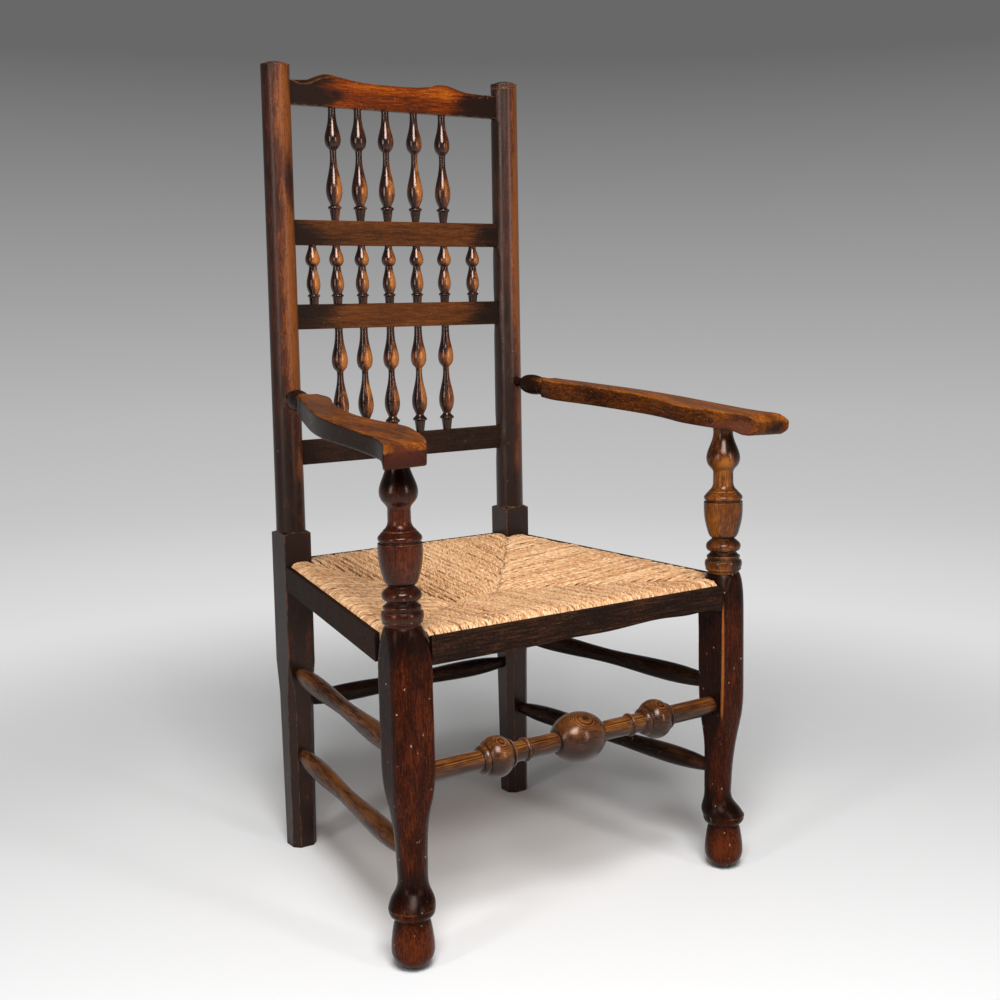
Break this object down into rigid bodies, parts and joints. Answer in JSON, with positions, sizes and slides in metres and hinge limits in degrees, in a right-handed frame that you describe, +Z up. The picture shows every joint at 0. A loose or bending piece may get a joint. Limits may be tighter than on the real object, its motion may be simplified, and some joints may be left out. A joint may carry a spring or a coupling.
{
  "type": "rush seat spindle back armchair",
  "caption": "Wooden armchair with a tall back of turned spindles between flat slats, turned arm supports, a woven rush seat and club front feet.",
  "frame": {"origin": "on the floor, under the middle of the chair's bounding box", "axes": "+Z up, the chair faces -Y, +X towards the right-hand side seen from the front"},
  "size_m": [0.6422, 0.5225, 1.1501],
  "materials": {
    "post_wood": "dark stained and waxed, red-brown in the wear",
    "turned_wood": "dark stained and waxed, polished by wear",
    "spindle_wood": "dark stained and waxed, golden where rubbed",
    "rail_wood": "dark stained and waxed, grain along the slat",
    "arm_wood": "waxed, golden brown from handling",
    "stretcher_wood": "waxed, open grain",
    "strip_wood": "dark stained, dull",
    "hidden_wood": "unfinished",
    "rush": "dry twisted rush",
    "iron": "dark, dull"
  },
  "bodies": {
    "root": {"arm_left": "arm_wood", "arm_pegs": "turned_wood", "arm_right": "arm_wood", "arm_support_left": "turned_wood", "arm_support_right": "turned_wood", "back_stretcher": "stretcher_wood", "crest_rail": "rail_wood", "edging_strip_back": "strip_wood", "edging_strip_front": "strip_wood", "edging_strip_left": "strip_wood", "edging_strip_right": "strip_wood", "front_leg_left": "post_wood", "front_leg_right": "post_wood", "front_stretcher": "stretcher_wood", "lower_back_rail": "rail_wood", "middle_back_rail": "rail_wood", "rear_post_left": "post_wood", "rear_post_right": "post_wood", "rush_seat": "rush", "seat_rail_back": "hidden_wood", "seat_rail_front": "hidden_wood", "seat_rail_left": "hidden_wood", "seat_rail_right": "hidden_wood", "side_stretcher_lower_left": "stretcher_wood", "side_stretcher_lower_right": "stretcher_wood", "side_stretcher_upper_left": "stretcher_wood", "side_stretcher_upper_right": "stretcher_wood", "spindle_bottom_1": "spindle_wood", "spindle_bottom_2": "spindle_wood", "spindle_bottom_3": "spindle_wood", "spindle_bottom_4": "spindle_wood", "spindle_bottom_5": "spindle_wood", "spindle_middle_1": "spindle_wood", "spindle_middle_2": "spindle_wood", "spindle_middle_3": "spindle_wood", "spindle_middle_4": "spindle_wood", "spindle_middle_5": "spindle_wood", "spindle_middle_6": "spindle_wood", "spindle_middle_7": "spindle_wood", "spindle_top_1": "spindle_wood", "spindle_top_2": "spindle_wood", "spindle_top_3": "spindle_wood", "spindle_top_4": "spindle_wood", "spindle_top_5": "spindle_wood", "strip_nails": "iron", "upper_back_rail": "rail_wood"}
  },
  "joints": []
}
